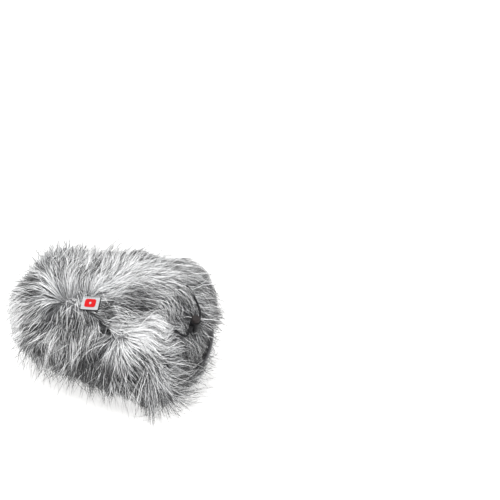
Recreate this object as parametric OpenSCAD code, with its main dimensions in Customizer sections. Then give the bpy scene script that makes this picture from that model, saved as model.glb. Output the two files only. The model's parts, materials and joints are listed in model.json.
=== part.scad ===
// Furry slip-on windscreen cover for a microphone blimp, lying on its side on a flat surface.
// A long-pile sleeve with a closed front end, a slit with a hook-and-loop closure flap,
// and a rear mouth gathered by a drawcord with a spring cord lock.
// Origin: middle of the footprint, on the surface it lies on.  +X runs to the rear mouth.

/* [Fur cover] */
// Radius of the fur around the closed front end
front_r = 80; // [74:1:84]
// Radius of the fur around the rear half
rear_r = 86; // [82:1:90]
// Half the width of the flat that the slumped sleeve adds to its round section
half_flat = 16; // [10:1:20]
// Height of the sleeve's middle above the surface it lies on
axis_z = 78; // [74:1:79]
// Distance from the middle of the front end's round to the origin
front_x = 60; // [50:1:64]
// Distance from the origin to the middle of the rear end's round
rear_x = 50; // [46:1:54]
// Distance from the origin to the cloth edge at the rear mouth
mouth_x = 122; // [120:1:124]
// Distance from the origin to the seam of the front end panel
cap_x = 92; // [88:1:96]

/* [Cavity] */
// Radius of the cavity at the front end
bore_front_r = 38; // [34:1:40]
// Radius of the cavity in the middle of the sleeve
bore_rear_r = 45; // [42:1:46]
// Radius of the gathered rear mouth
mouth_r = 36; // [34:1:36]

/* [Closure] */
// Length of the closure flap along the slit
flap_len = 72; // [60:1:72]
// Width of the closure flap from the slit to its fold line
flap_w = 38; // [34:1:38]
// Widest opening of the closure flap
flap_open_deg = 32; // [20:1:32]
// Width of the hook tape and the loop tape
tape_w = 12; // [8:1:12]

/* [Drawcord] */
// Diameter of the elastic drawcord
cord_d = 3.2; // [2.8:0.1:3.2]
// Outer radius of the cord lock's barrel
barrel_r = 6.8; // [6.6:0.1:7]
// Travel of the cord lock's button
press_travel = 4; // [3:0.5:4]

/* [Label] */
// Width of the label plate
label_w = 27; // [22:1:28]
// Height of the label plate
label_h = 20; // [18:1:22]

/* [Hidden] */
$fn = 96;
far = 400;              // longer than the whole cover
tape_t = 1.5;           // thickness of seam tapes

neck_from = 40;         // distance from rear_x to where the cavity starts to narrow towards the mouth

// Closure frame: x along the slit to the rear, y across it to the flap side, z outwards
slit_at = [81, -52, 131];
slit_turn = [42, 0, 40];
slit_gap = 2.5;         // half the width of the slit's open rear end and of its gap beside the flap
flap_under = -15;       // height of the flap's underside in the closure frame
flap_x0 = -40;          // front end of the flap
flap_x1 = flap_x0 + flap_len;
flap_gap = 0.5;         // free space around the flap
hinge_gap = 0.4;        // free space on each side of the fold line
inside_low = -58;       // a height in the closure frame that lies inside the cavity
edge_t = 1.2;           // thickness of the tapes on the slit's edges
edge_w = 8;             // width of the tapes on the slit's edges
tongue_t = 1.5;
tongue_top = flap_under - 2;
hook_t = 0.9;           // thickness of the hook tape
loop_t = 0.8;           // thickness of the loop tape
hinge_y = flap_w + 2;

// Mouth casing: a square tube with round corners that follows the mouth, open at the slit
casing_w = 8;
casing_mid_r = mouth_r + 2;
casing_gap = 10;        // half the opening between the casing's ends
casing_mid_x = mouth_x + casing_w / 2;
casing_top = axis_z + casing_mid_r + casing_w / 2;
channel_r = cord_d / 2 + 0.1;
eyelet_y = 14;

// Cord lock frame: y along the cord through it, z along the button's travel
lock_at = [138, -2, 125];
lock_turn = [14, 18, 10];
bore_r = 5.5;
button_r = bore_r - 0.08;
barrel_low = -12;
barrel_top = 7.5;
barrel_floor = 1.6;
button_top = 13.5;
button_low = -4.2;
slot_half_w = 2.2;      // half the width of the cord's way through the lock
knot_at = -14.5;        // place of the stopper knot along the cord, in the lock frame
knot_r = 4;

// Route of the free drawcord: out of the eyelet, a slack loop over the fur, through the lock, and its tail
cord_route = concat(
    [[126, 14, 120], [126, 14, 127], [124.5, 15, 132], [119, 17.5, 136], [112, 20, 142], [104, 24, 148],
     [98.5, 28.5, 151.5], [97.5, 33.5, 152], [99.5, 38, 150.3], [107, 36.8, 145.2], [115, 33, 139.7],
     [122, 28.5, 135.7], [128.5, 23.5, 132.7], [133.3, 18.3, 130.8]],
    [for (t = [15.5, 10, 5, 0, -5, -10, -14.5, -19]) lock_point(t)],
    [[139.5, -23.8, 118.2], [136.5, -26.3, 118.8], [132, -28.3, 121.3], [127.3, -29.9, 124.6]]);
tip_dir = [-4.7, -1.6, 3.4];

// Label frame: z out of the label's face, on the side of the sleeve above the slit's front end
label_at = [14.5, -64, 147];
label_turn = [39, 0, 0];
label_roll = 14;
plate_t = 1.8;
face_t = 0.8;
face_top = plate_t + face_t;
emblem_t = 0.5;
emblem_w = 16;
emblem_h = 11.5;

function turned(v, a) = // v turned about X, then Y, then Z, by the angles a
    let (p = [v[0], v[1] * cos(a[0]) - v[2] * sin(a[0]), v[1] * sin(a[0]) + v[2] * cos(a[0])],
         q = [p[0] * cos(a[1]) + p[2] * sin(a[1]), p[1], p[2] * cos(a[1]) - p[0] * sin(a[1])])
    [q[0] * cos(a[2]) - q[1] * sin(a[2]), q[0] * sin(a[2]) + q[1] * cos(a[2]), q[2]];
function lock_point(t) = lock_at + turned([0, t, 0], lock_turn);
function unit(v) = v / norm(v);
// Catmull-Rom curve through the route's points
function on_curve(p, i, t) =
    let (a = p[max(i - 1, 0)], b = p[i], c = p[i + 1], d = p[min(i + 2, len(p) - 1)])
    0.5 * (2 * b + (c - a) * t + (2 * a - 5 * b + 4 * c - d) * t * t + (3 * b - a - 3 * c + d) * t * t * t);
function curve(p, steps) =
    concat([for (i = [0 : len(p) - 2], k = [0 : steps - 1]) on_curve(p, i, k / steps)], [p[len(p) - 1]]);

module at_slit() translate(slit_at) rotate(slit_turn) children();
module at_lock() translate(lock_at) rotate(lock_turn) children();
module at_label() translate(label_at) rotate(label_turn) rotate([0, 0, label_roll]) children();
module box(x, y, z) translate([x[0], y[0], z[0]]) cube([x[1] - x[0], y[1] - y[0], z[1] - z[0]]);

// A solid of revolution cut in half lengthways and drawn apart by the slumped sleeve's flat.
// Its outline is given as x along the sleeve and y out from its middle.
module slumped() {
    for (side = [0, 1]) mirror([0, side, 0]) translate([0, half_flat, axis_z]) rotate([0, 90, 0])
        rotate_extrude(angle = 180) mirror([1, -1, 0]) children();
    translate([0, half_flat, axis_z]) rotate([90, 0, 0]) linear_extrude(2 * half_flat) {
        children();
        mirror([0, 1, 0]) children();
    }
}

module fur_outline() intersection() {
    slope = (rear_r - front_r) / (rear_x + front_x);
    lift = sqrt(1 - slope * slope);
    union() {
        translate([-front_x, 0]) circle(front_r);
        translate([rear_x, 0]) circle(rear_r);
        polygon([[-front_x, 0], [-front_x - front_r * slope, front_r * lift],
            [rear_x - rear_r * slope, rear_r * lift], [rear_x, 0]]);
    }
    translate([-far / 2, 0]) square([far / 2 + mouth_x, far]);
}
module cavity_outline(shrink = 0) polygon([
    [-cap_x, 0], [-cap_x, bore_front_r - shrink],
    [rear_x, bore_rear_r - shrink], [rear_x + neck_from, bore_rear_r - shrink],
    [mouth_x, mouth_r - shrink], [mouth_x + 1, mouth_r - shrink], [mouth_x + 1, 0]]);
module ring_outline(x, r) polygon([[x[0], r[0]], [x[1], r[0]], [x[1], r[1]], [x[0], r[1]]]);

module fur_solid() difference() {
    slumped() fur_outline();
    box([-far, far], [-far, far], [-far, 0]);
}
module cavity() slumped() cavity_outline();

// The space that the closure flap needs, with the wedge that it folds back into
module flap_space() at_slit() {
    ends = [flap_x0 - flap_gap, flap_x1 + flap_gap];
    low = flap_under - 2;
    high = far / 4;
    box(ends, [-slit_gap, hinge_y + hinge_gap], [low, high]);
    translate([ends[0], 0, 0]) rotate([90, 0, 90]) linear_extrude(ends[1] - ends[0])
        polygon([[hinge_y, low], [hinge_y + hinge_gap, low],
            [hinge_y + hinge_gap + high * tan(flap_open_deg + 1), high + low], [hinge_y, high]]);
    box([flap_x0 - 2, flap_x1 + 3], [-tape_w - 1, hinge_y - 12], [inside_low, low]);
}
// The open rear end of the slit
module slit_space() at_slit()
    box([flap_x1, 70], [-slit_gap - 1.5, slit_gap + 1.5], [inside_low, far / 4]);
module lip_tape_space() at_slit()
    box([flap_x0, flap_x1], [-slit_gap - edge_t, -slit_gap + 1], [flap_under - 2, flap_under + edge_w]);
module label_seat() at_label()
    box([-label_w / 2 - 1, label_w / 2 + 1], [-label_h / 2 - 1, label_h / 2 + 1], [0, 30]);

module body_panel() color("darkgray") difference() {
    fur_solid();
    box([-far, -cap_x], [-far, far], [-far, far]);
    cavity();
    flap_space();
    slit_space();
    lip_tape_space();
    label_seat();
}
module end_cap() color("gainsboro") intersection() {
    fur_solid();
    box([-far, -cap_x], [-far, far], [-far, far]);
}
module cap_seam_tape() color("black")
    slumped() ring_outline([-cap_x, -cap_x + 8], [bore_front_r - tape_t, bore_front_r]);
// The sewn part of the long seam, from the front end panel to the slit
module sleeve_seam_tape() color("black") intersection() {
    difference() {
        slumped() cavity_outline();
        slumped() cavity_outline(tape_t);
    }
    translate([0, -half_flat, axis_z]) rotate([42, 0, 0]) box([-cap_x + 8, 20], [-5, 5], [10, 60]);
}

module mouth_casing() color("dimgray") difference() {
    slumped() ring_outline([mouth_x, mouth_x + casing_w], [mouth_r - 2, mouth_r + casing_w - 2]);
    box([0, far], [-casing_gap, casing_gap], [axis_z, far]);
    cord_ring(channel_r, casing_gap + 1.5);
    translate([casing_mid_x, eyelet_y, axis_z + casing_mid_r]) cylinder(r = channel_r, h = casing_w);
}
// The path of the drawcord inside the casing
module cord_ring(r, gap) difference() {
    slumped() translate([casing_mid_x, casing_mid_r]) circle(r);
    box([0, far], [-gap, gap], [axis_z, far]);
}
module drawcord_run() color("black") {
    cord_ring(cord_d / 2, casing_gap + 2);
    translate([casing_mid_x, eyelet_y, axis_z + casing_mid_r]) cylinder(d = cord_d, h = casing_w / 2);
}
module cord_anchor_stitch() color("black")
    for (k = [0 : 2]) translate([casing_mid_x - 2.4, -casing_gap - 3 - 1.6 * k, casing_top])
        box([0, 4.8], [0, 0.8], [0, 0.6]);
module cord_eyelet() color("black") translate([casing_mid_x, eyelet_y, casing_top])
    difference() {
        cylinder(r = 3.6, h = 1);
        translate([0, 0, -1]) cylinder(r = channel_r, h = 3);
    }

// A tube of 8 sides along points p
module tube(p, d) {
    sides = 8;
    n = len(p);
    along = [for (i = [0 : n - 1]) unit(p[min(i + 1, n - 1)] - p[max(i - 1, 0)])];
    across = [for (i = [0 : n - 1]) unit(cross(along[i], [0.35, 0.25, 0.9]))];
    rings = [for (i = [0 : n - 1], k = [0 : sides - 1]) let (turn = 360 * k / sides)
        p[i] + d / 2 * (cos(turn) * across[i] + sin(turn) * cross(along[i], across[i]))];
    walls = [for (i = [0 : n - 2], k = [0 : sides - 1])
        let (a = i * sides + k, b = i * sides + (k + 1) % sides)
        each [[a, a + sides, b + sides], [a, b + sides, b]]];
    start_face = [for (k = [0 : sides - 1]) k];
    end_face = [for (k = [sides - 1 : -1 : 0]) (n - 1) * sides + k];
    polyhedron(rings, concat(walls, [start_face, end_face]));
}
module drawcord_free() color("black") tube(curve(cord_route, 2), cord_d);
module stopper_knot() color("black") at_lock() translate([0, knot_at, 0]) difference() {
    union() {
        sphere(knot_r);
        for (side = [-1, 1]) rotate([90, 0, 0]) translate([0, 0, side * 1.6]) rotate_extrude()
            translate([2.6, 0]) circle(1.5);
    }
    rotate([90, 0, 0]) translate([0, 0, -10]) cylinder(r = cord_d / 2 + 0.1, h = 20);
}
module cord_tip() color("black") {
    end = cord_route[len(cord_route) - 1];
    way = unit(tip_dir);
    translate(end) rotate([0, acos(way[2]), atan2(way[1], way[0])]) {
        translate([0, 0, 0.1]) cylinder(d = cord_d + 0.6, h = 7);
        translate([0, 0, 7.1]) sphere(d = cord_d + 0.6);
    }
}

module lock_barrel() color("black") at_lock() difference() {
    union() {
        translate([0, 0, barrel_low + 1.5]) cylinder(r = barrel_r, h = barrel_top - barrel_low - 1.5);
        translate([0, 0, barrel_low]) cylinder(r1 = barrel_r - 1.5, r2 = barrel_r, h = 1.5);
    }
    translate([0, 0, barrel_low + barrel_floor]) cylinder(r = bore_r, h = far);
    box([-slot_half_w, slot_half_w], [-10, 10], [-2.2, 2.2]);
}
module lock_button() color([0.16, 0.14, 0.13]) at_lock() difference() {
    union() {
        translate([0, 0, button_low]) cylinder(r = button_r, h = button_top - 1.2 - button_low);
        translate([0, 0, button_top - 1.2]) cylinder(r1 = button_r, r2 = button_r - 1.2, h = 1.2);
    }
    box([-slot_half_w, slot_half_w], [-10, 10], [-1.8, 2.2 + press_travel]);
}
module lock_spring() color("silver") at_lock() {
    turns = 4;
    wire = 0.7;
    low = barrel_low + barrel_floor + wire / 2 + 0.05;
    high = button_low - wire / 2 - 0.05;
    steps = 18;
    tube([for (i = [0 : turns * steps]) [3.9 * cos(360 * i / steps), 3.9 * sin(360 * i / steps),
        low + (high - low) * i / (turns * steps)]], wire);
}

module closure_flap() color("lightgray") difference() {
    fur_solid();
    at_slit() {
        box([-far, flap_x0], [-far, far], [-far, far]);
        box([flap_x1, far], [-far, far], [-far, far]);
        box([-far, far], [-far, slit_gap], [-far, far]);
        box([-far, far], [hinge_y - hinge_gap, far], [-far, far]);
        box([-far, far], [-far, far], [-far, flap_under]);
        box([flap_x0 - 1, flap_x1 + 1], [slit_gap - 1, slit_gap + edge_t],
            [flap_under - 1, flap_under + edge_w]);
    }
}
module flap_edge_tape() color("black") at_slit()
    box([flap_x0 + 2, flap_x1 - 10], [slit_gap, slit_gap + edge_t], [flap_under, flap_under + edge_w]);
// A strip along the slit on the flap's side, between two heights
module closing_tape(z) at_slit()
    box([flap_x0 + 4, flap_x1 - 12], [slit_gap + 2, slit_gap + 2 + tape_w], z);
module hook_tape() color("black") closing_tape([flap_under - hook_t, flap_under]);
module loop_tape() color("black") closing_tape([tongue_top, tongue_top + loop_t]);
module lip_edge_tape() color("black") at_slit()
    box([flap_x0 + 2, flap_x1 - 2], [-slit_gap - edge_t, -slit_gap], [flap_under - 2, flap_under + edge_w]);
module closure_tongue() color("dimgray") at_slit()
    box([flap_x0 + 2, flap_x1 - 2], [-tape_w, slit_gap + 3 + tape_w], [tongue_top - tongue_t, tongue_top]);

module plate(w, h, r, z, t) translate([0, 0, z]) linear_extrude(t) {
    square([w - 2 * r, h], center = true);
    square([w, h - 2 * r], center = true);
    for (x = [-1, 1], y = [-1, 1]) translate([x * (w / 2 - r), y * (h / 2 - r)]) circle(r);
}
module label_backing() color("black") at_label() plate(label_w, label_h, 2, 0, plate_t);
module label_face() color("whitesmoke") at_label()
    plate(label_w - 1.6, label_h - 1.6, 1.4, plate_t, face_t);
module label_emblem() color("red") at_label() difference() {
    plate(emblem_w, emblem_h, 3, face_top, emblem_t);
    cylinder(r = 1.8, h = 10);
}
module label_stitches() color("black") at_label() for (x = [-3 : 3])
    box([x * 3 - 0.9, x * 3 + 0.9], [label_h / 2 - 2.2, label_h / 2 - 1.7], [face_top, face_top + 0.3]);

body_panel();
end_cap();
cap_seam_tape();
sleeve_seam_tape();
mouth_casing();
drawcord_run();
cord_anchor_stitch();
cord_eyelet();
drawcord_free();
stopper_knot();
cord_tip();
lock_barrel();
lock_button();
lock_spring();
closure_flap();
flap_edge_tape();
hook_tape();
lip_edge_tape();
closure_tongue();
loop_tape();
label_backing();
label_face();
label_emblem();
label_stitches();
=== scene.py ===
"""Furry slip-on windscreen cover, lying on a pale floor.

A knitted sleeve with long combed pile, a closure flap over a slit, a gathered rear mouth with an
elastic drawcord and cord lock, and a sewn-on label.  Shapes are worked out in millimetres in the
part's own frame and become metres when a mesh is made.
"""
import json
import math

import bmesh
import bpy
import numpy as np
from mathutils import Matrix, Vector
from mathutils.kdtree import KDTree


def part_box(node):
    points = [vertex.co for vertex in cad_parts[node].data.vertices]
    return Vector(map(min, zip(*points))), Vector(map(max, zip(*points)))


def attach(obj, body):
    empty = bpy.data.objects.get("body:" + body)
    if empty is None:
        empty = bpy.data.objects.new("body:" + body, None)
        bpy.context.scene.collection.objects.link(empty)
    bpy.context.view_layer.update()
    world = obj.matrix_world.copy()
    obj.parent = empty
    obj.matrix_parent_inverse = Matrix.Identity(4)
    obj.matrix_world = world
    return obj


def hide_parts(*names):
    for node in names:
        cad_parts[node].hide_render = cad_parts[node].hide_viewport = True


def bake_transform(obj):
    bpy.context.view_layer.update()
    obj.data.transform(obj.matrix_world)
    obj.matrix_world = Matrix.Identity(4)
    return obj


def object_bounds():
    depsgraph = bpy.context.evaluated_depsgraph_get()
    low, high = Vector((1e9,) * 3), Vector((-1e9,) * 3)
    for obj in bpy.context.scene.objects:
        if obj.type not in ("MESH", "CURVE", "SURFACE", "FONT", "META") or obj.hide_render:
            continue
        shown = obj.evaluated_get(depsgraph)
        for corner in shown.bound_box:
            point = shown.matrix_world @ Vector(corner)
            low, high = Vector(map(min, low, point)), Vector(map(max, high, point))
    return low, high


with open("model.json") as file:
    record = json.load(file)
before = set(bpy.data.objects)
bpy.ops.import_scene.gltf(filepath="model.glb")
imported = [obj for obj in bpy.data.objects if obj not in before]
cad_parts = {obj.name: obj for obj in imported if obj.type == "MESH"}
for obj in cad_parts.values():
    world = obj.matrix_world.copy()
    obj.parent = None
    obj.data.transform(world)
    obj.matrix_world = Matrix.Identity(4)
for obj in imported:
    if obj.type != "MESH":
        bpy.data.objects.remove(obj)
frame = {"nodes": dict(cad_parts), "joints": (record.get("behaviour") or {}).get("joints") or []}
cad_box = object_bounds()
MM = 0.001


# ---------------------------------------------------------------- camera

def look(azimuth, elevation, middle, aside, above, distance):
    """A camera that sees `middle` that far left of and below its own centre."""
    a, e = math.radians(azimuth), math.radians(elevation)
    back = Vector((math.sin(a) * math.cos(e), -math.cos(a) * math.cos(e), math.sin(e)))
    right = Vector((math.cos(a), math.sin(a), 0))
    data = bpy.data.cameras.new("camera")
    data.lens = 250
    data.sensor_width = 36
    camera = bpy.data.objects.new("camera", data)
    camera.location = Vector(middle) + right * aside + back.cross(right) * above + back * distance
    camera.rotation_euler = back.to_track_quat("Z", "Y").to_euler()
    bpy.context.scene.collection.objects.link(camera)
    bpy.context.scene.camera = camera


look(azimuth=33, elevation=30, middle=(0, 0, 0.080), aside=0.188, above=0.0986, distance=4.69)


# ---------------------------------------------------------------- node materials

def material(name, color, roughness, metallic=0.0, coat=0.0, sheen=0.0, specular=0.5):
    """A Principled material, its node tree and its shader."""
    made = bpy.data.materials.new(name)
    made.use_nodes = True
    tree = made.node_tree
    shader = tree.nodes["Principled BSDF"]
    shader.inputs["Base Color"].default_value = (*color, 1)
    shader.inputs["Roughness"].default_value = roughness
    shader.inputs["Metallic"].default_value = metallic
    shader.inputs["Coat Weight"].default_value = coat
    shader.inputs["Sheen Weight"].default_value = sheen
    shader.inputs["Specular IOR Level"].default_value = specular
    return made, tree, shader


def node(tree, kind, inputs=(), **settings):
    """A node of that kind.  `inputs` pairs socket names or numbers with values or sockets."""
    made = tree.nodes.new(kind)
    for key, value in settings.items():
        setattr(made, key, value)
    for key, value in inputs:
        if isinstance(value, bpy.types.NodeSocket):
            tree.links.new(value, made.inputs[key])
        else:
            made.inputs[key].default_value = value
    return made


def mixed(tree, factor, a, b):
    """The colour between a and b, each a socket or a colour."""
    made = node(tree, "ShaderNodeMix", [(0, factor), (6, a), (7, b)], data_type="RGBA")
    return made.outputs[2]


def ramp(tree, factor, stops):
    made = node(tree, "ShaderNodeValToRGB", [(0, factor)])
    bar = made.color_ramp
    while len(bar.elements) < len(stops):
        bar.elements.new(0.5)
    for element, (place, color) in zip(bar.elements, stops):
        element.position = place
        element.color = (*color, 1)
    return made.outputs[0]


def object_place(tree):
    return node(tree, "ShaderNodeTexCoord").outputs["Object"]


def bumped(tree, shader, height, strength, distance):
    bump = node(tree, "ShaderNodeBump", [("Height", height), ("Strength", strength),
                                         ("Distance", distance)])
    tree.links.new(bump.outputs[0], shader.inputs["Normal"])


def woven(name, dark, light, threads_mm, roughness=0.9, sheen=0.25, strength=0.5):
    """Cloth or tape: crossing threads that far apart, worn and dusty in patches."""
    made, tree, shader = material(name, dark, roughness, sheen=sheen, specular=0.25)
    place = object_place(tree)
    scale = 0.314 / (threads_mm * MM)
    across = [node(tree, "ShaderNodeTexWave", [(0, place), ("Scale", scale), ("Distortion", 0.6),
              ("Detail", 1.0)], bands_direction=way).outputs["Fac"] for way in ("X", "Y", "Z")]
    pair = node(tree, "ShaderNodeMath", [(0, across[0]), (1, across[1])], operation="ADD")
    threads = node(tree, "ShaderNodeMath", [(0, pair.outputs[0]), (1, across[2])], operation="ADD")
    level = node(tree, "ShaderNodeMath", [(0, threads.outputs[0]), (1, 0.34)], operation="MULTIPLY")
    wear = node(tree, "ShaderNodeTexNoise", [(0, place), ("Scale", 90.0), ("Detail", 5.0)])
    tone = node(tree, "ShaderNodeMath", [(0, level.outputs[0]), (1, wear.outputs[0])],
                operation="MULTIPLY")
    tree.links.new(mixed(tree, tone.outputs[0], (*dark, 1), (*light, 1)), shader.inputs["Base Color"])
    bumped(tree, shader, level.outputs[0], strength, 0.0004)
    return made


def moulded(name, color, roughness, coat=0.0, grain=0.15, metallic=0.0, specular=0.5):
    """Plastic, rubber or metal: fine grain, faint scuffs, slightly uneven gloss."""
    made, tree, shader = material(name, color, roughness, metallic, coat, specular=specular)
    place = object_place(tree)
    scuff = node(tree, "ShaderNodeTexNoise", [(0, place), ("Scale", 260.0), ("Detail", 6.0),
                                              ("Roughness", 0.65)])
    fine = node(tree, "ShaderNodeTexNoise", [(0, place), ("Scale", 1900.0), ("Detail", 2.0)])
    paler = tuple(min(1, c * 1.5 + 0.012) for c in color)
    tree.links.new(mixed(tree, scuff.outputs[0], (*color, 1), (*paler, 1)),
                   shader.inputs["Base Color"])
    gloss = node(tree, "ShaderNodeMapRange", [(0, scuff.outputs[0]), (3, roughness - 0.08),
                                              (4, roughness + 0.12)])
    tree.links.new(gloss.outputs[0], shader.inputs["Roughness"])
    bumped(tree, shader, fine.outputs[0], grain, 0.0001)
    return made


def fur_material(name):
    """Strands with pale bases and dark tips.  The map gives a strand's tone and the place along it."""
    made, tree, shader = material(name, (0.5, 0.5, 0.5), 0.5, sheen=0.12, specular=0.35)
    spot = node(tree, "ShaderNodeUVMap", uv_map="OFBake").outputs[0]
    parts = node(tree, "ShaderNodeSeparateXYZ", [(0, spot)])
    tone, along = parts.outputs[0], parts.outputs[1]
    base = ramp(tree, tone, [(0.0, (0.05, 0.051, 0.054)), (0.25, (0.2, 0.203, 0.21)),
                             (0.5, (0.64, 0.648, 0.66)), (0.75, (0.9, 0.905, 0.91)),
                             (1.0, (0.97, 0.972, 0.975))])
    tip = ramp(tree, tone, [(0.0, (0.008, 0.008, 0.009)), (0.46, (0.018, 0.0175, 0.0175)),
                            (0.66, (0.11, 0.11, 0.112)), (0.82, (0.7, 0.705, 0.71)),
                            (1.0, (0.96, 0.962, 0.965))])
    fade = node(tree, "ShaderNodeMapRange", [(0, along), (1, 0.52), (2, 0.8)],
                interpolation_type="SMOOTHSTEP")
    tree.links.new(mixed(tree, fade.outputs[0], base, tip), shader.inputs["Base Color"])
    return made


def underfur_material():
    """The dense short wool between the strands."""
    made, tree, shader = material("underfur", (0.3, 0.3, 0.31), 0.95, sheen=0.3, specular=0.1)
    place = object_place(tree)
    tuft = node(tree, "ShaderNodeTexNoise", [(0, place), ("Scale", 420.0), ("Detail", 6.0),
                                             ("Roughness", 0.7)])
    tree.links.new(ramp(tree, tuft.outputs[0], [(0.3, (0.2, 0.2, 0.206)), (0.7, (0.6, 0.6, 0.615))]),
                   shader.inputs["Base Color"])
    bumped(tree, shader, tuft.outputs[0], 0.8, 0.0012)
    return made


def label_print_material():
    """A pale satin plate with a fine brushed line."""
    made, tree, shader = material("label_print", (0.75, 0.76, 0.77), 0.35, coat=0.2)
    place = object_place(tree)
    stretch = node(tree, "ShaderNodeMapping", [(0, place), ("Scale", (60, 900, 900))])
    brush = node(tree, "ShaderNodeTexNoise", [(0, stretch.outputs[0]), ("Scale", 1.0), ("Detail", 4.0)])
    tree.links.new(ramp(tree, brush.outputs[0], [(0.3, (0.36, 0.37, 0.385)), (0.7, (0.5, 0.51, 0.525))]),
                   shader.inputs["Base Color"])
    bumped(tree, shader, brush.outputs[0], 0.15, 0.0001)
    return made


FUR = fur_material("fur")
UNDERFUR = underfur_material()
LINING = woven("lining", (0.012, 0.012, 0.014), (0.11, 0.11, 0.12), 1.3, sheen=0.4)
BINDING = woven("binding", (0.006, 0.006, 0.007), (0.06, 0.06, 0.065), 0.7)
HOOKS = woven("hook_and_loop", (0.004, 0.004, 0.005), (0.05, 0.05, 0.055), 0.9, strength=1.0)
BRAID = woven("elastic_cord", (0.004, 0.004, 0.005), (0.035, 0.035, 0.038), 0.8, sheen=0.1)
THREAD = woven("thread", (0.01, 0.01, 0.01), (0.09, 0.09, 0.09), 0.4)
BLACK_PLASTIC = moulded("lock_plastic", (0.004, 0.004, 0.005), 0.35, specular=0.15)
BROWN_PLASTIC = moulded("button_plastic", (0.017, 0.013, 0.013), 0.5, specular=0.2)
STEEL = moulded("spring_steel", (0.55, 0.55, 0.57), 0.3, metallic=1.0)
BLACK_METAL = moulded("black_metal", (0.02, 0.02, 0.022), 0.35, coat=0.3)
RUBBER = moulded("label_rubber", (0.016, 0.016, 0.017), 0.6, grain=0.4)
PALE_PLATE = label_print_material()
RED = moulded("label_red", (0.42, 0.004, 0.006), 0.5, grain=0.05, specular=0.08)


# ---------------------------------------------------------------- meshes and pieces

def mesh_object(name, points_mm, faces, skin, smooth=True):
    mesh = bpy.data.meshes.new(name)
    mesh.from_pydata((np.asarray(points_mm) * MM).tolist(), [], faces)
    mesh.materials.append(skin)
    mesh.polygons.foreach_set("use_smooth", [smooth] * len(mesh.polygons))
    made = bpy.data.objects.new(name, mesh)
    bpy.context.scene.collection.objects.link(made)
    return made


def cleaned(obj, within=0.00002):
    """Joins points that coincide, and turns every face outwards."""
    work = bmesh.new()
    work.from_mesh(obj.data)
    bmesh.ops.remove_doubles(work, verts=work.verts, dist=within)
    bmesh.ops.dissolve_degenerate(work, edges=work.edges, dist=within / 2)
    bmesh.ops.recalc_face_normals(work, faces=work.faces)
    work.to_mesh(obj.data)
    work.free()
    return obj


def settled(obj):
    """Applies the modifiers of obj."""
    bpy.context.view_layer.update()
    seen = obj.evaluated_get(bpy.context.evaluated_depsgraph_get())
    old = obj.data
    obj.data = bpy.data.meshes.new_from_object(seen)
    obj.modifiers.clear()
    bpy.data.meshes.remove(old)
    return obj


def cut(obj, *cutters):
    for cutter in cutters:
        step = obj.modifiers.new("cut", "BOOLEAN")
        step.operation = "DIFFERENCE"
        step.solver = "EXACT"
        step.object = cutter
    return settled(obj)


def piece(obj, body, slot, *replaced):
    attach(obj, body)
    if replaced:
        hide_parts(*replaced)
    return obj


def rounded_copy(source, name, skin, width_mm, segments=3):
    """A copy of a CAD node with its edges rounded, to stand for it."""
    made = bpy.data.objects.new(name, frame["nodes"][source].data.copy())
    bpy.context.scene.collection.objects.link(made)
    made.data.materials.clear()
    made.data.materials.append(skin)
    work = bmesh.new()
    work.from_mesh(made.data)
    bmesh.ops.remove_doubles(work, verts=work.verts, dist=1e-6)
    bmesh.ops.dissolve_limit(work, angle_limit=math.radians(1), verts=work.verts, edges=work.edges)
    work.to_mesh(made.data)
    work.free()
    made.data.polygons.foreach_set("use_smooth", [True] * len(made.data.polygons))
    bevel = made.modifiers.new("round", "BEVEL")
    bevel.width = width_mm * MM
    bevel.segments = segments
    bevel.limit_method = "ANGLE"
    bevel.angle_limit = math.radians(35)
    bevel.harden_normals = False
    return settled(made)


# ---------------------------------------------------------------- free drawcord, its knot and tip

lock_slide = next(j for j in frame["joints"] if j["name"] == "lock_slide")
button_press = next(j for j in frame["joints"] if j["name"] == "button_press")
LOCK_AT = np.array([138.0, -2, 125])
LOCK_ALONG = np.array(lock_slide["axis"])
LOCK_UP = -np.array(button_press["axis"])
CORD_D = 3.2

CORD_ROUTE = [
    (126, 14, 120), (126, 14, 127), (124.5, 15, 132), (119, 17.5, 136), (112, 20, 142), (104, 24, 148),
    (98.5, 28.5, 151.5), (97.5, 33.5, 152), (99.5, 38, 150.3), (107, 36.8, 145.2), (115, 33, 139.7),
    (122, 28.5, 135.7), (128.5, 23.5, 132.7), (133.3, 18.3, 130.8),
    *[tuple(LOCK_AT + LOCK_ALONG * t) for t in (15.5, 10, 5, 0, -5, -10, -14.5, -19)],
    (139.5, -23.8, 118.2), (136.5, -26.3, 118.8), (132, -28.3, 121.3), (127.3, -29.9, 124.6)]


def smooth_route(points, steps):
    """A Catmull-Rom curve through the points."""
    p = np.array([points[0], *points, points[-1]], float)
    t = (np.arange(steps) / steps)[:, None]
    runs = [0.5 * (2 * b + (c - a) * t + (2 * a - 5 * b + 4 * c - d) * t**2
                   + (3 * b - a - 3 * c + d) * t**3) for a, b, c, d in zip(p, p[1:], p[2:], p[3:])]
    return np.vstack([*runs, p[-1:]])


def tube_curve(name, line_mm, diameter_mm, skin, cyclic=False):
    data = bpy.data.curves.new(name, "CURVE")
    data.dimensions = "3D"
    data.bevel_depth = diameter_mm * MM / 2
    data.bevel_resolution = 5
    data.use_fill_caps = not cyclic
    spline = data.splines.new("POLY")
    spline.points.add(len(line_mm) - 1)
    spline.points.foreach_set("co", np.hstack([line_mm * MM, np.ones((len(line_mm), 1))]).ravel())
    spline.use_cyclic_u = cyclic
    spline.use_smooth = True
    data.materials.append(skin)
    made = bpy.data.objects.new(name, data)
    bpy.context.scene.collection.objects.link(made)
    return made


cord_line = smooth_route(CORD_ROUTE, 6)
drawcord = piece(tube_curve("drawcord", cord_line, CORD_D, BRAID), "cover", "elastic_cord", "drawcord_free")

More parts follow.
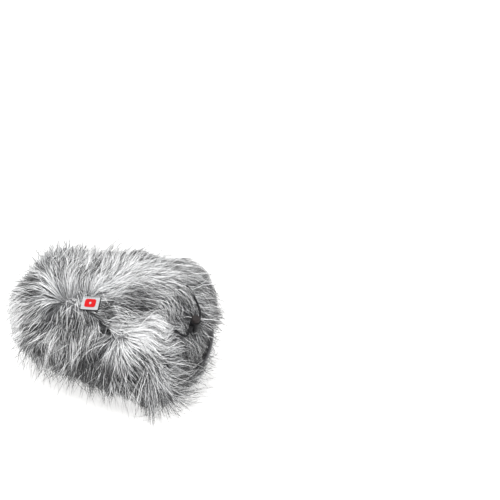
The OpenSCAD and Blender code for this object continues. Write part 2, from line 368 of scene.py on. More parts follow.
# The stopper: the cord tied in an overhand knot, a trefoil drawn tight around its own run
turn = np.linspace(0, 2 * math.pi, 90, endpoint=False)
side_way = np.cross(LOCK_ALONG, LOCK_UP)
trefoil = [np.sin(turn) + 2 * np.sin(2 * turn), np.cos(turn) - 2 * np.cos(2 * turn), -np.sin(3 * turn)]
knot_line = (LOCK_AT - 14.5 * LOCK_ALONG + 0.95 * (np.outer(trefoil[0], side_way)
             + np.outer(trefoil[1], LOCK_UP) + 1.5 * np.outer(trefoil[2], LOCK_ALONG)))
stopper = piece(tube_curve("stopper_overhand", knot_line, 2.7, BRAID, cyclic=True), "cover",
                "elastic_cord", "stopper_knot")

barrel = piece(rounded_copy("lock_barrel", "lock_barrel_round", BLACK_PLASTIC, 0.5), "lock",
               "lock_plastic", "lock_barrel")
button = piece(rounded_copy("lock_button", "lock_button_round", BROWN_PLASTIC, 0.5), "button",
               "button_plastic", "lock_button")


# ---------------------------------------------------------------- the slumped sleeve's shape

FRONT_X, REAR_X = -60.0, 50.0    # ends of the core that the whole cover is drawn around
HALF_FLAT = 16.0
AXIS_Z = 78.0
CORE_LOW = np.array([FRONT_X, -HALF_FLAT, AXIS_Z])
CORE_HIGH = np.array([REAR_X, HALF_FLAT, AXIS_Z])
CAP_X, MOUTH_X = -92.0, 121.0


def unit(v):
    return v / np.maximum(np.linalg.norm(v, axis=-1, keepdims=True), 1e-9)


def from_core(p):
    """Each point's nearest core point, its distance from it, and the way out."""
    core = np.clip(p, CORE_LOW, CORE_HIGH)
    away = p - core
    distance = np.linalg.norm(away, axis=1)
    return core, distance, away / np.maximum(distance, 1e-9)[:, None]


def cloth_r(x):
    """Radius of the lining inside the sleeve."""
    return np.interp(x, [CAP_X, REAR_X, 90, MOUTH_X], [38.4, 45.4, 45.4, 36.6])


def wool_r(x):
    """Radius of the underfur around the sleeve."""
    return np.interp(x, [CAP_X, -70, REAR_X, 95, 112, MOUTH_X], [55, 59, 63, 59, 48, 38.5])


def section(per_half, per_flat):
    """Steps around the slumped section: the core's y, and the way out (y, z)."""
    right = [(HALF_FLAT, math.cos(t), math.sin(t)) for t in np.linspace(-math.pi / 2, math.pi / 2, per_half)]
    top = [(y, 0.0, 1.0) for y in np.linspace(HALF_FLAT, -HALF_FLAT, per_flat)[1:-1]]
    half = right + top
    return np.array(half + [(-y, -ny, -nz) for y, ny, nz in half])


def waves(p, size, seed, count=14):
    """Smooth noise, mostly from -1 to 1, with lumps about that many millimetres across."""
    draw = np.random.default_rng(seed)
    k = unit(draw.normal(size=(count, 3))) * draw.uniform(0.6, 1.4, (count, 1)) * math.pi / size
    return np.sin(p @ k.T + draw.uniform(0, 2 * math.pi, count)).sum(1) / math.sqrt(count / 2)


def loft(name, profile, ring, skin, closed, wrinkle=None):
    """A skin over rings of the slumped section.  profile is rows of (x, radius)."""
    profile = np.asarray(profile, float)
    x = np.repeat(profile[:, 0], len(ring))
    r = np.repeat(profile[:, 1], len(ring))
    y0, ny, nz = np.tile(ring, (len(profile), 1)).T
    if wrinkle is not None:
        r = r + wrinkle(np.stack([x, y0 + r * ny, AXIS_Z + r * nz], 1), r)
    points = np.stack([x, y0 + r * ny, AXIS_Z + r * nz], 1)
    m, rows = len(ring), len(profile)
    faces = [(i * m + k, i * m + (k + 1) % m, (i + 1) % rows * m + (k + 1) % m, (i + 1) % rows * m + k)
             for i in range(rows if closed else rows - 1) for k in range(m)]
    return cleaned(mesh_object(name, points, faces, skin))


# Closure frame: x along the slit to the rear, y across it to the flap's side, z outwards
hinge = next(j for j in frame["joints"] if j["name"] == "flap_fold")
CLOSURE_TILT = math.radians(42)    # how steeply the closure lies on the sleeve
SLIT_X = -np.array(hinge["axis"])
SLIT_Y = (np.cross((0, 0, 1), SLIT_X) * math.cos(CLOSURE_TILT)
          + np.array([0, 0, 1]) * math.sin(CLOSURE_TILT))
SLIT_Z = np.cross(SLIT_X, SLIT_Y)
HINGE_Y, HINGE_Z = 40.0, -15.5
SLIT_AT = np.array(hinge["pos_m"]) / MM - HINGE_Y * SLIT_Y - HINGE_Z * SLIT_Z
FLAP_X0, FLAP_X1 = -40.0, 32.0    # ends of the flap along the slit
FLAP_Y0, FLAP_Y1 = 0.5, 51.0     # from the slit's edge to where the flap's cloth joins the sleeve
FLAP_Z = -15.0                   # underside of the flap's cloth
TO_SLIT = np.stack([SLIT_X, SLIT_Y, SLIT_Z])


def in_slit_frame(p):
    return (p - SLIT_AT) @ TO_SLIT.T


def at_slit(p):
    return SLIT_AT + np.asarray(p) @ TO_SLIT


def slit_box(name, x, y, z):
    corners = at_slit([(a, b, c) for a in x for b in y for c in z])
    faces = [(0, 1, 3, 2), (4, 6, 7, 5), (0, 4, 5, 1), (2, 3, 7, 6), (0, 2, 6, 4), (1, 5, 7, 3)]
    return cleaned(mesh_object(name, corners, faces, LINING, smooth=False))


# ---------------------------------------------------------------- cloth and underfur

RING = section(41, 9)
CLOTH = 1.2                # thickness of the knitted backing
GATHERED_FROM = 82.0       # x where the folds towards the mouth begin
CAP_BULGE = 6.0            # how far the end panel bellies out
gather_turn = np.random.default_rng(3).uniform(0, 6.28, 3)


def gathers(p):
    """Folds that deepen towards the drawn-in mouth, and slack ripples elsewhere."""
    angle = np.arctan2(p[:, 2] - AXIS_Z, p[:, 1])
    near = np.clip((p[:, 0] - GATHERED_FROM) / (MOUTH_X - GATHERED_FROM), 0, 1)
    folds = np.sin(34 * angle + gather_turn[0]) + 0.5 * np.sin(21 * angle + gather_turn[1])
    return near * 0.9 * folds + 0.5 * (1 - near) * waves(p, 26, 5)


def tent(p):
    """Lifts the sleeve's cloth behind the fold line of the flap, where the slack cloth stands up."""
    s = in_slit_frame(p)
    beside = np.clip(1 - np.maximum(FLAP_X0 - s[:, 0], s[:, 0] - FLAP_X1) / 18, 0, 1)
    behind = np.clip(1 - abs(s[:, 1] - FLAP_Y1) / 34, 0, 1)
    return 15 * beside * behind**1.5 * (s[:, 2] > -70)


def sleeve_wrinkle(p, _):
    return gathers(p) + tent(p)


along_x = np.linspace(CAP_X, MOUTH_X, 64)
sleeve_profile = ([(x, cloth_r(x)) for x in along_x]
                  + [(x, cloth_r(x) + CLOTH) for x in along_x[::-1]])
sleeve = loft("sleeve_cloth", sleeve_profile, RING, LINING, True, sleeve_wrinkle)

dome = np.linspace(0, 1, 12)
cap_profile = ([(CAP_X - 0.6 - CAP_BULGE * (1 - t * t), 38.8 * t) for t in dome]
               + [(CAP_X - 1.8 - CAP_BULGE * (1 - t * t), 38.8 * t) for t in dome[::-1]])
end_panel = loft("end_panel_cloth", cap_profile, RING, LINING, False)


def tufted(p, r):
    """Tufts on the outer side of the underfur, over the tent that the cloth makes."""
    return tent(p) * (r > 20) + (r > 46) * (1.6 * waves(p, 7, 11) + 1.2 * waves(p, 16, 12))


wool_x = np.linspace(CAP_X, MOUTH_X - 1, 74)
wool_profile = ([(CAP_X - 2.2 - CAP_BULGE * (1 - t * t), 39 * t) for t in dome]
                + [(x, cloth_r(x) + 1.6) for x in wool_x[::2]]
                + [(x, wool_r(x)) for x in wool_x[::-1]]
                + [(CAP_X - 19 * math.cos(a), wool_r(CAP_X) * math.sin(a))
                   for a in np.linspace(math.pi / 2, 0, 16)[1:]])
wool = loft("sleeve_underfur", wool_profile, section(49, 11), UNDERFUR, False, tufted)

hole = slit_box("hole", (FLAP_X0 - 0.5, FLAP_X1 + 0.5), (-0.5, FLAP_Y1), (-45, 90))
slit = slit_box("slit", (FLAP_X1, 75), (-3, 3), (-60, 90))
for cloth in (sleeve, wool):
    cut(cloth, hole, slit)


def flap_sheet(name, skin, low, high, nx=30, ny=22):
    """A slab over the flap between two heights, given as functions of the closure frame's x and y."""
    u, v = np.meshgrid(np.linspace(FLAP_X0 + 0.4, FLAP_X1 - 0.4, nx),
                       np.linspace(FLAP_Y0 + 0.2, FLAP_Y1, ny), indexing="ij")
    u, v = u.ravel(), v.ravel()
    layers = [at_slit(np.stack([u, v, z], 1)) for z in (low(u, v), high(u, v))]
    size = nx * ny
    flat = [(i * ny + k, i * ny + k + 1, (i + 1) * ny + k + 1, (i + 1) * ny + k)
            for i in range(nx - 1) for k in range(ny - 1)]
    rim = ([i * ny for i in range(nx)] + [(nx - 1) * ny + k for k in range(1, ny)]
           + [i * ny + ny - 1 for i in range(nx - 2, -1, -1)] + [k for k in range(ny - 2, 0, -1)])
    walls = [(a, b, b + size, a + size) for a, b in zip(rim, rim[1:] + rim[:1])]
    faces = flat + [tuple(c + size for c in reversed(f)) for f in flat] + walls
    return cleaned(mesh_object(name, np.vstack(layers), faces, skin))


def flap_base(u, v):
    """Height of the flap's cloth: flat, then turning down behind the fold line to meet the sleeve."""
    return FLAP_Z + 0.05 + 0.25 * (1 - np.cos(u / 9)) - 0.076 * np.maximum(v - 34, 0) ** 2


def flap_wool(u, v):
    """Height of the flap's underfur: up to the underfur of the sleeve around it."""
    p = at_slit(np.stack([u, v, flap_base(u, v) + 5], 1))
    room = np.clip(66 - from_core(p)[1], 0, 30)
    return flap_base(u, v) + 6.5 + room + 1.2 * waves(p, 7, 13)


def flap_cloth_top(u, v):
    return flap_base(u, v) + CLOTH


def flap_wool_under(u, v):
    """Just clear of the cloth's upper side."""
    return flap_base(u, v) + 1.3


flap_cloth = flap_sheet("flap_cloth", LINING, flap_base, flap_cloth_top)
flap_tufts = flap_sheet("flap_underfur", UNDERFUR, flap_wool_under, flap_wool, 36, 26)

CASING_X, CASING_R = 126.0, 38.0    # the casing's place along the sleeve, and its radius
CASING_GAP = 10.0                   # half the gap that the cord comes out of


def puckered_casing():
    """The sleeve's edge turned over the drawcord and puckered by it."""
    half = section(61, 13)
    ring = half[(np.abs(half[:, 0] + CASING_R * half[:, 1]) > CASING_GAP - 0.1) | (half[:, 2] < 0)]
    y = ring[:, 0] + CASING_R * ring[:, 1]
    z = AXIS_Z + CASING_R * ring[:, 2]
    first = int(np.argmax(np.hypot(np.diff(y, append=y[0]), np.diff(z, append=z[0]))))
    ring = np.roll(ring, -first - 1, axis=0)
    around = np.linspace(0, 2 * math.pi, 16, endpoint=False)
    square = 1 / np.maximum(abs(np.cos(around)), abs(np.sin(around))) ** 0.7
    place = np.arange(len(ring))
    puff = 3.6 + 0.45 * np.sin(place * 2.3) + 0.25 * np.sin(place * 3.7 + 1)
    puff[[0, -1]] *= 0.75
    points, faces = [], []
    for (y0, ny, nz), size in zip(ring, puff):
        r = CASING_R + size * square * np.cos(around)
        points.append(np.stack([CASING_X + size * square * np.sin(around), y0 + r * ny,
                                AXIS_Z + r * nz], 1))
    n = len(around)
    for i in range(len(ring) - 1):
        faces += [(i * n + k, i * n + (k + 1) % n, (i + 1) * n + (k + 1) % n, (i + 1) * n + k)
                  for k in range(n)]
    faces += [tuple(range(n)), tuple(range((len(ring) - 1) * n, len(ring) * n))]
    made = cleaned(mesh_object("gathered_casing", np.vstack(points), faces, LINING))
    smoother = made.modifiers.new("smooth", "SUBSURF")
    smoother.levels = smoother.render_levels = 1
    return settled(made)


casing = puckered_casing()


# ---------------------------------------------------------------- how the pile was combed

# The pile is described in the sleeve's own terms: millimetres along it from the origin, and degrees
# around it, where 0 is the far side, 90 the top, 180 the side with the label and 270 underneath.
# The rows below follow readings of the photo that a separate program put onto the pile.  They were
# typed again on these terms and rounded to about 5 mm and 5 degrees.
PILE_FRONT, PILE_REAR = 83.5, 88.5    # distance of the pile's surface from the core


def on_pile(along, around):
    """The place on the plain pile that far along the sleeve and around it."""
    turn = math.radians(around)
    core_x = min(max(along, FRONT_X), REAR_X)
    reach = np.interp(core_x, [FRONT_X, REAR_X], [PILE_FRONT, PILE_REAR])
    r = math.sqrt(max(reach**2 - (along - core_x) ** 2, 0))
    side = HALF_FLAT * min(max(3 * math.cos(turn), -1), 1)
    return np.array([along, side + r * math.cos(turn), AXIS_Z + r * math.sin(turn)])


def heading(around, degrees):
    """The way of a stroke: 0 runs to the rear, 90 down the label's side, -90 over to the far side."""
    turn, way = math.radians(around), math.radians(degrees)
    return np.array([math.cos(way), -math.sin(way) * math.sin(turn), math.sin(way) * math.cos(turn)])


# Whorls that the pile lies away from: along, around, reach, strength
WHORLS = [(-35, 125, 38, 1.2), (0, 115, 22, 1.2), (75, 145, 36, 0.9)]
# Strokes of the comb: along, around, heading, how far the pile stands up there
STROKES = [
    # forward at the front end, and straight down the label's side
    (-115, 165, 140, 0.3), (-70, 180, 105, 0.2), (-20, 175, 90, 0.1), (20, 165, 70, 0.1),
    (-40, 205, 95, 0.3), (30, 205, 90, 0.3),
    # over the top of the front half, to the far side
    (-105, 65, -135, 0.9), (-70, 85, -105, 0.2), (-10, 60, -80, 0.6), (0, 90, -95, 0.3),
    (45, 75, -60, 0.2),
    # along the top to the rear, and down over the rear end
    (45, 105, -25, 0.1), (75, 100, -10, 0), (55, 125, 15, 0), (105, 90, 15, 0), (75, 55, -35, 0.3),
    (100, 40, -40, 0.3),
    # around the bulge below the slit
    (80, 130, -45, 0), (105, 120, -30, 0), (125, 125, 0, 0), (105, 155, 50, 0), (60, 165, 95, 0),
    (110, 185, 75, 0.2), (75, 200, 90, 0.3), (105, 225, 100, 0.5),
    # across the rear end
    (136, 180, 45, 0.1), (138, 150, 0, 0), (138, 30, -135, 0.2), (134, 300, 150, 0.3)]
STROKE_REACH = 22.0
ELSEWHERE = np.array([0.1, 0.6, -0.8])    # the way of the pile where no stroke is near

# The crease arcs over the flap in the closure frame.  The shelf and the valley are shallow dips.
CREASE = [at_slit((x, 25 - (x - 12) ** 2 / 100, 12)) for x in range(-45, 60, 12)]
SHELF = [on_pile(x, 150) for x in range(-55, 16, 17)]
VALLEY = [on_pile(42, turn) for turn in range(165, 200, 10)]


def laid_out(rows):
    """Rows of (along, around, reach, amount) as rows of (place, reach, amount)."""
    return [(on_pile(along, around), reach, amount) for along, around, reach, amount in rows]


# Height of the pile over its plain surface
RELIEF = [
    *[(place, 9, -14) for place in CREASE], *[(place, 8, -6) for place in SHELF],
    *[(place, 9, -6) for place in VALLEY], *[(np.array(place), 7, 8) for place in CORD_ROUTE[3:7]],
    *laid_out([
        # the bulges beside the slit, under the label and on top
        (90, 150, 26, 5), (-45, 120, 26, 3), (45, 90, 20, 3),
        # the front end and the dips along the top
        (-130, 110, 18, -14), (-135, 160, 22, -10), (-110, 170, 22, -6), (-90, 65, 24, -19),
        (-45, 60, 24, -18), (-80, 85, 20, -6),
        # the high far side of the rear half
        (0, 60, 18, 9), (60, 50, 22, 15), (90, 40, 24, 17), (110, 25, 24, -4), (128, 10, 22, -10),
        # the drawn-in underside
        (-90, 225, 30, -15), (-45, 235, 30, -22), (10, 230, 28, -12), (50, 230, 30, -22),
        (85, 235, 28, -11), (120, 285, 24, 5)])]
# Shift of the strands' tone, towards white or dark: partly the pile's own pattern, partly painted highlight
# and painted shade
TONES_AND_PAINTED_LIGHT = [
    # painted shade: darker in the crease, on the shelf and in the valley, with the pile's dark tips there
    # too
    *[(place, 8, -0.22) for place in CREASE], *[(place, 10, -0.15) for place in SHELF],
    *[(place, 10, -0.1) for place in VALLEY],
    *laid_out([
        # pale: the first whorl, where the pile parts; the bulge and its upper edge, pale bases with a
        # painted highlight; the front end, painted light through its thin hair; a patch on the side; the
        # top, partly painted light from above
        (-40, 125, 18, 0.4), (90, 145, 26, 0.46), (110, 135, 20, 0.2), (105, 105, 11, 0.5),
        (120, 110, 9, 0.5), (-110, 160, 24, 0.5), (-105, 190, 22, 0.45), (-30, 175, 11, 0.3),
        (-25, 90, 26, 0.12), (25, 80, 30, 0.16), (60, 85, 30, 0.22), (90, 70, 26, 0.2),
        # dark: painted shade along the crease, in the dip beside the bulge, and around the cord lock and the
        # mouth, with the pile's dark tips there too
        (85, 105, 10, -0.3), (50, 140, 7, -0.2), (58, 160, 15, -0.45), (123, 95, 8, -0.25),
        (134, 85, 16, -0.45), (128, 10, 24, -0.25), (136, 105, 24, -0.3), (120, 230, 30, -0.2),
        # dark: the label's side in front, the pile's dark band with painted shade; the lower edge, painted
        # shade underneath over its dark tips
        (-50, 155, 16, -0.2), (-60, 185, 18, -0.16), (-20, 155, 12, -0.2), (5, 170, 16, -0.12),
        (-70, 200, 18, -0.2), (30, 200, 24, -0.24), (85, 200, 24, -0.16), (-20, 220, 24, -0.15),
        (20, 220, 24, -0.3), (60, 220, 24, -0.2), (112, 265, 26, -0.2)])]


def columns(rows):
    """The places, the reaches and the amounts of rows."""
    return [np.array(column) for column in zip(*rows)]


def nearness(p, middles, reach):
    """How near each point is to each middle, from 0 to 1."""
    gap = (p**2).sum(1)[:, None] - 2 * p @ middles.T + (middles**2).sum(1)
    return np.exp(-gap / (2 * np.asarray(reach, float) ** 2))


WHORL_AT, WHORL_REACH, WHORL_BY = columns(laid_out(WHORLS))
STROKE_AT = np.array([on_pile(*s[:2]) for s in STROKES])
STROKE_WAY = np.array([heading(s[1], s[2]) for s in STROKES])
STROKE_LIFT = np.array([s[3] for s in STROKES])
RELIEF_AT, RELIEF_REACH, RELIEF_BY = columns(RELIEF)
TONE_AND_LIGHT_AT, TONE_AND_LIGHT_REACH, TONE_AND_LIGHT_BY = columns(TONES_AND_PAINTED_LIGHT)


def pile_surface(core, n):
    """The surface point over each place, and its distance from the core."""
    plain = np.interp(core[:, 0], [FRONT_X, REAR_X], [PILE_FRONT, PILE_REAR])
    flat = (AXIS_Z - 1.5) / np.maximum(-n[:, 2], 1e-3)
    over = core + n * np.minimum(plain, flat)[:, None]
    relief = nearness(over, RELIEF_AT, RELIEF_REACH) @ RELIEF_BY + 1.6 * waves(over, 22, 21)
    return over, np.minimum(plain + relief, flat)


def combed(over, n):
    """The way the pile lies at surface points, and how far it stands up."""
    near = nearness(over, STROKE_AT, STROKE_REACH)
    whirl = nearness(over, WHORL_AT, WHORL_REACH) * WHORL_BY
    radial = unit(over[:, None, :] - WHORL_AT)
    faint = 0.05
    way = near @ STROKE_WAY + (whirl[:, :, None] * radial).sum(1) + faint * ELSEWHERE
    lift = (near @ STROKE_LIFT + faint * 0.25) / (near.sum(1) + faint)
    way = unit(way)
    way += 0.22 * np.stack([waves(over, 30, 31), waves(over, 30, 32), waves(over, 30, 33)], 1)
    way -= n * (way * n).sum(1)[:, None]
    return unit(way), lift


# ---------------------------------------------------------------- strands

STEPS = 12
KEPT = [0, 3, 6, 8, 10, 12]    # steps that stay in the mesh
ALONG = np.array(KEPT) / STEPS
TAPER = np.array([0.75, 1.0, 0.9, 0.75, 0.5, 0.07])    # width of a strand at the kept steps
NEAR_TIP = 4                   # the kept step whose place gives a strand its tone
LONGEST = 74                   # most that a lock may measure
LABEL_TILT, LABEL_ROLL = math.radians(39), math.radians(14)
LABEL_HALF_W, LABEL_HALF_H = 13.5, 11.0    # half the plate, with 1 mm of room above and below
OVER_PILE = slice(52, -3, 2)   # the part of cord_line that lies over the pile
CORD_ROOM = 5.5                # the pile stays that far under the cord's middle
LOCK_ROOM, KNOT_ROOM = 12, 10.5
PROUD = 8.5                    # most that a strand stands past the CAD box, beside its 3 %


def grown(roots, bend, length, depth, lift_by, cling):
    """Paths of strands: up through the pile first, then laid the way it was combed."""
    core, distance, n = from_core(roots)
    p = roots.copy()
    way = unit(n + bend)
    path = [p]
    for _ in range(STEPS):
        core, distance, n = from_core(p)
        over, surface = pile_surface(core, n)
        flow, lift = combed(over, n)
        gap = surface * depth - distance
        rise = np.clip(gap / 11, -cling, 2.6) + lift * lift_by
        want = unit(unit(flow + bend) + n * rise[:, None])
        way = unit(0.45 * way + 0.55 * want)
        p = p + way * (length / STEPS)[:, None]
        path.append(p)
    return np.stack([path[k] for k in KEPT], 1)


def pressed_under_label(p):
    """Strands at the label pass under it."""
    low, high = (np.array(corner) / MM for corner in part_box("label_backing"))
    middle = (low + high) / 2
    out = np.array([0, -math.sin(LABEL_TILT), math.cos(LABEL_TILT)])
    up = np.array([0, math.cos(LABEL_TILT), math.sin(LABEL_TILT)])
    across = np.array([1.0, 0, 0]) * math.cos(LABEL_ROLL) + up * math.sin(LABEL_ROLL)
    up = np.cross(out, across)
    local = (p - middle) @ np.stack([across, up, out]).T
    beyond = np.maximum(np.maximum(abs(local[..., 0]) - LABEL_HALF_W,
                                   abs(local[..., 1]) - LABEL_HALF_H), 0)
    most = -2.2 + 0.9 * beyond
    excess = np.where((beyond < 6) & (local[..., 2] < 45) & (local[..., 2] > -30),
                      np.maximum(local[..., 2] - most, 0), 0)
    return p - excess[..., None] * out


def pressed_under_cord(p):
    """Strands at the free cord pass under it, from the top of its loop on."""
    flat = p.reshape(-1, 3)
    close = np.where((flat[:, 0] > 90) & (flat[:, 2] > 100) & (abs(flat[:, 1]) < 45))[0]
    line = cord_line[OVER_PILE]
    gap = np.linalg.norm(flat[close][:, None] - line, axis=2)
    nearest = gap.argmin(1)
    _, distance, n = from_core(flat[close])
    cord_height = from_core(line)[1][nearest]
    sideways = np.linalg.norm(np.cross(flat[close] - line[nearest], n), axis=1)
    most = cord_height - CORD_ROOM + np.maximum(sideways - 4, 0) * 0.9
    excess = np.where(sideways < 12, np.maximum(distance - most, 0), 0)
    flat[close] -= n * excess[:, None]
    return flat.reshape(p.shape)


def clear_of_lock(p):
    """Strands at the cord lock are pushed aside."""
    away = p - LOCK_AT
    height = away @ LOCK_UP
    side = away - height[..., None] * LOCK_UP
    gap = np.linalg.norm(side, axis=-1)
    beside = (height > -16) & (height < 40) & (gap < LOCK_ROOM)
    p = p + unit(side) * np.where(beside, LOCK_ROOM - gap, 0)[..., None]
    from_knot = p - (LOCK_AT - 15 * LOCK_ALONG)
    gap = np.linalg.norm(from_knot, axis=-1)
    return p + unit(from_knot) * np.maximum(KNOT_ROOM - gap, 0)[..., None]


def tidied(p):
    """Strands kept off the label, the cord and the lock, inside the room allowed and over the floor."""
    p = clear_of_lock(pressed_under_cord(pressed_under_label(p)))
    low, high = (np.array(corner) / MM for corner in cad_box)
    spare = 0.03 * (high - low) + PROUD
    p = np.clip(p, low - spare, high + spare)
    p[..., 2] = np.maximum(p[..., 2], 0.5)
    return p


def nearest_index(points, middles):
    tree = KDTree(len(middles))
    for i, m in enumerate(middles):
        tree.insert(m, i)
    tree.balance()
    return np.array([tree.find(p)[1] for p in points])


def pile_depth(p):
    """How much pile is over each point."""
    core, distance, n = from_core(p)
    return pile_surface(core, n)[1] - distance


def strand_tones(draw, over, lock, locks, loose):
    """Each strand's tone, from dark to white: by its place, with painted highlight and shade there, its lock
    and itself, with dark guard hairs.
    """
    count = len(over)
    tone = (0.56 + nearness(over, TONE_AND_LIGHT_AT, TONE_AND_LIGHT_REACH) @ TONE_AND_LIGHT_BY + 0.09 * waves(over, 15, 41)
            + 0.06 * waves(over, 6, 42) + draw.normal(0, 0.24, locks)[lock] + draw.normal(0, 0.27, count)
            - 0.3 * (draw.random(count) < 0.14))
    return np.clip(tone + 0.08 * loose, 0.02, 0.98)


def ribbon_mesh(name, edges, tone):
    """Ribbons between pairs of edges, with the map that fur_material reads."""
    rows, levels = edges.shape[:2]
    mesh = bpy.data.meshes.new(name)
    mesh.vertices.add(rows * levels * 2)
    mesh.vertices.foreach_set("co", (edges * MM).astype(np.float32).ravel())
    start = (np.arange(rows) * levels * 2)[:, None, None]
    step = (np.arange(levels - 1) * 2)[None, :, None]
    quads = start + step + np.array([0, 1, 3, 2])[None, None, :]
    mesh.loops.add(quads.size)
    mesh.loops.foreach_set("vertex_index", quads.ravel().astype(np.int32))
    mesh.polygons.add(quads.size // 4)
    mesh.polygons.foreach_set("loop_start", np.arange(0, quads.size, 4, dtype=np.int32))
    mesh.polygons.foreach_set("use_smooth", np.ones(quads.size // 4, bool))
    u = tone[:, None, None] + np.array([0, 0.006, 0.006, 0])[None, None, :]
    v = np.stack([ALONG[:-1], ALONG[:-1], ALONG[1:], ALONG[1:]], 1)[None]
    chart = np.stack(np.broadcast_arrays(u, v), -1)
    mesh.uv_layers.new(name="OFBake").data.foreach_set("uv", chart.astype(np.float32).ravel())
    mesh.materials.append(FUR)
    mesh.update(calc_edges=True)
    mesh.validate()
    made = bpy.data.objects.new(name, mesh)
    bpy.context.scene.collection.objects.link(made)
    return made


def strands(name, roots, seed, laid=36, per_clump=7, clump_pull=0.58, width=0.8, flyaway=0.07):
    """A mesh of tapered ribbons that grow from the roots in pointed locks."""
    draw = np.random.default_rng(seed)
    count = len(roots)
    leaders = roots[draw.choice(count, max(1, count // per_clump), replace=False)]
    lock = nearest_index(roots, leaders)
    k = len(leaders)
    lead_length = np.clip(laid + 0.95 * pile_depth(leaders), laid, LONGEST) * draw.uniform(0.86, 1.1, k)
    lead_bend = 0.12 * draw.normal(size=(k, 3))
    lead_depth = draw.uniform(0.93, 1.0, k)
    lead_cling = 0.3 + 0.9 * draw.random(k)
    lead = grown(leaders, lead_bend, lead_length, lead_depth, np.full(k, 1.0), lead_cling)
    loose = draw.random(count) < flyaway
    bend = lead_bend[lock] * 0.6 + (0.1 + 0.25 * loose)[:, None] * draw.normal(size=(count, 3))
    length = lead_length[lock] * draw.uniform(0.8, 1.06, count) * (1 + 0.12 * loose)
    depth = np.where(loose, draw.uniform(1.0, 1.05, count), draw.uniform(0.84, 1.0, count))
    cling = lead_cling[lock] * (1 - loose)
    own = grown(roots, bend, length, depth, 1 + 1.2 * loose * draw.random(count), cling)
    pull = clump_pull * draw.uniform(0.5, 1.15, count) * np.where(loose, 0.1, 1)
    weight = np.clip(pull[:, None] * ALONG**1.25, 0, 0.94)[..., None]
    path = tidied(own * (1 - weight) + lead[lock] * weight)

    along = unit(np.gradient(path, axis=1))
    n = from_core(path.reshape(-1, 3))[2].reshape(path.shape)
    flat = unit(np.cross(along, n))
    twist = draw.normal(0, 0.55, count)[:, None, None]
    side = flat * np.cos(twist) + np.cross(along, flat) * np.sin(twist)
    half = (width / 2 * draw.uniform(0.7, 1.25, count) * (1 - 0.3 * loose))[:, None] * TAPER
    edges = np.stack([path - side * half[..., None], path + side * half[..., None]], 2)
    core, _, out = from_core(path[:, NEAR_TIP])
    over = pile_surface(core, out)[0]
    return ribbon_mesh(name, edges, strand_tones(draw, over, lock, k, loose))


def on_section(f, x, r):
    """Points around the slumped section at x, at the fraction f of its way around."""
    arc, flat = math.pi * r, 2 * HALF_FLAT
    s = f * 2 * (arc + flat)
    mirrored = s >= arc + flat
    s = np.where(mirrored, s - arc - flat, s)
    t = np.where(s < arc, s / r - math.pi / 2, math.pi / 2)
    y = np.where(s < arc, HALF_FLAT, HALF_FLAT - (s - arc)) + r * np.cos(t)
    z = r * np.sin(t)
    turned = np.where(mirrored, -1.0, 1.0)
    return np.stack([x, y * turned, AXIS_Z + z * turned], 1)


def in_hole(p):
    s = in_slit_frame(p)
    flap = (s[:, 0] > FLAP_X0 - 1.5) & (s[:, 0] < FLAP_X1 + 1.5) & (s[:, 1] > -1.5) & (s[:, 1] < FLAP_Y1)
    rear_slit = (s[:, 0] >= FLAP_X1) & (abs(s[:, 1]) < 4)
    return (flap | rear_slit) & (s[:, 2] > -50)


def sleeve_roots(count, seed):
    draw = np.random.default_rng(seed)
    x = draw.uniform(CAP_X, MOUTH_X - 1, count)
    r = wool_r(x) - np.minimum(5, 0.4 * (wool_r(x) - cloth_r(x)))
    p = on_section(draw.random(count), x, r)
    p = p + unit(p - from_core(p)[0]) * tent(p)[:, None]
    keep = ~in_hole(p) & ((p[:, 2] > 45) | (draw.random(count) < 0.6))
    return p[keep]


def cap_roots(count, seed):
    draw = np.random.default_rng(seed)
    r = 50 * np.sqrt(draw.random(count))
    x = CAP_X - 14 * np.sqrt(np.maximum(0, 1 - (r / 52) ** 2))
    return on_section(draw.random(count), x, r)


def flap_roots(count, seed):
    draw = np.random.default_rng(seed)
    u = draw.uniform(FLAP_X0 + 0.8, FLAP_X1 - 0.8, count)
    v = draw.uniform(FLAP_Y0 + 0.8, FLAP_Y1, count)
    return at_slit(np.stack([u, v, 0.5 * (flap_base(u, v) + flap_wool(u, v))], 1))


def rim_roots(count, seed, low, high):
    """Around the mouth between two angles, where the pile hangs over the opening."""
    draw = np.random.default_rng(seed)
    x = draw.uniform(100, MOUTH_X - 1, count)
    p = on_section(draw.random(count), x, wool_r(x) - 1.5)
    side = (np.degrees(np.arctan2(p[:, 2] - AXIS_Z, p[:, 1])) - low) % 360
    return p[(side < high - low) & ~in_hole(p)]


roots = sleeve_roots(100000, 51)
angle = np.degrees(np.arctan2(roots[:, 2] - AXIS_Z, roots[:, 1])) % 360
fur = {"fur_end": cap_roots(10000, 52)}
for part, low, high in (("front", -200, -25), ("middle", -25, 50), ("rear", 50, 200)):
    there = (roots[:, 0] >= low) & (roots[:, 0] < high)
    fur["fur_top_" + part] = roots[there & (angle >= 35) & (angle < 145)]
    fur["fur_side_" + part] = roots[there & (angle >= 145) & (angle < 255)]
    fur["fur_back_" + part] = roots[there & ((angle >= 255) | (angle < 35))]
pile = {name: strands(name, where, 60 + i) for i, (name, where) in enumerate(fur.items())}
pile["fur_rim"] = strands("fur_rim", rim_roots(17000, 54, 70, 265), 71, laid=74)
pile["fur_rim_far"] = strands("fur_rim_far", rim_roots(17000, 55, -60, 70), 72, laid=26)
flap_pile = strands("fur_flap", flap_roots(11000, 53), 70)
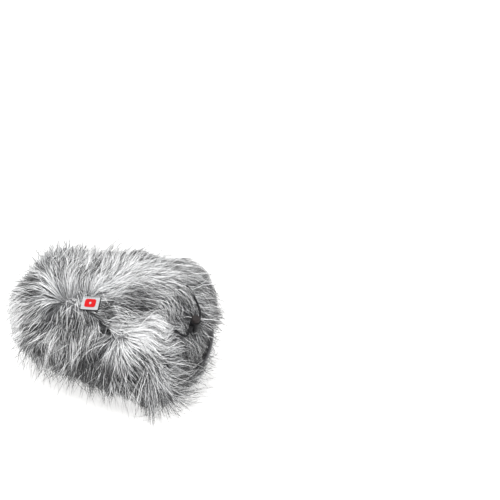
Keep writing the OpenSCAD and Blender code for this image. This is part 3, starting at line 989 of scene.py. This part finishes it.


# ---------------------------------------------------------------- riding, hiding and giving materials

piece(sleeve, "cover", "lining", "body_panel")
piece(end_panel, "cover", "lining", "end_cap")
piece(wool, "cover", "fur")
piece(casing, "cover", "lining", "mouth_casing")
for made in pile.values():
    piece(made, "cover", "fur")
for made, slot_name in ((flap_cloth, "lining"), (flap_tufts, "fur"), (flap_pile, "fur")):
    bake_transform(made)
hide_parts("closure_flap")

for name, skin in (("cap_seam_tape", BINDING), ("sleeve_seam_tape", BINDING), ("flap_edge_tape", BINDING),
                   ("lip_edge_tape", BINDING), ("closure_tongue", LINING), ("hook_tape", HOOKS),
                   ("loop_tape", HOOKS), ("drawcord_run", BRAID), ("cord_tip", BLACK_PLASTIC),
                   ("cord_eyelet", BLACK_METAL), ("cord_anchor_stitch", THREAD), ("lock_spring", STEEL),
                   ("label_backing", RUBBER), ("label_face", PALE_PLATE), ("label_emblem", RED),
                   ("label_stitches", THREAD)):
    shown = frame["nodes"][name].data
    shown.materials.clear()
    shown.materials.append(skin)


# ---------------------------------------------------------------- floor and light

for cutter in (hole, slit):
    bpy.data.objects.remove(cutter)


def pale_floor():
    """A matt floor that glows a little, so that the shadow on it stays faint."""
    made, _, shader = material("floor", (0.6, 0.6, 0.597), 0.8)
    shader.inputs["Emission Color"].default_value = (1, 0.995, 0.985, 1)
    shader.inputs["Emission Strength"].default_value = 0.72
    return made


FLOOR = 6000    # half its side
floor_corners = [(-FLOOR, -FLOOR, 0), (FLOOR, -FLOOR, 0), (FLOOR, FLOOR, 0), (-FLOOR, FLOOR, 0)]
floor = mesh_object("stage_floor", floor_corners, [(0, 1, 2, 3)], pale_floor())


def softbox(name, at, size, watts):
    data = bpy.data.lights.new(name, "AREA")
    data.size = size
    data.energy = watts
    made = bpy.data.objects.new(name, data)
    made.location = at
    made.rotation_euler = (Vector(at) - Vector((0, 0, 0.08))).to_track_quat("Z", "Y").to_euler()
    bpy.context.scene.collection.objects.link(made)


softbox("key", (0.15, -0.7, 2.4), 1.8, 54)
world = bpy.data.worlds.new("studio")
world.use_nodes = True
world.node_tree.nodes["Background"].inputs["Color"].default_value = (1, 1, 1, 1)
world.node_tree.nodes["Background"].inputs["Strength"].default_value = 0.8
bpy.context.scene.world = world
bpy.context.scene.view_settings.view_transform = "Standard"
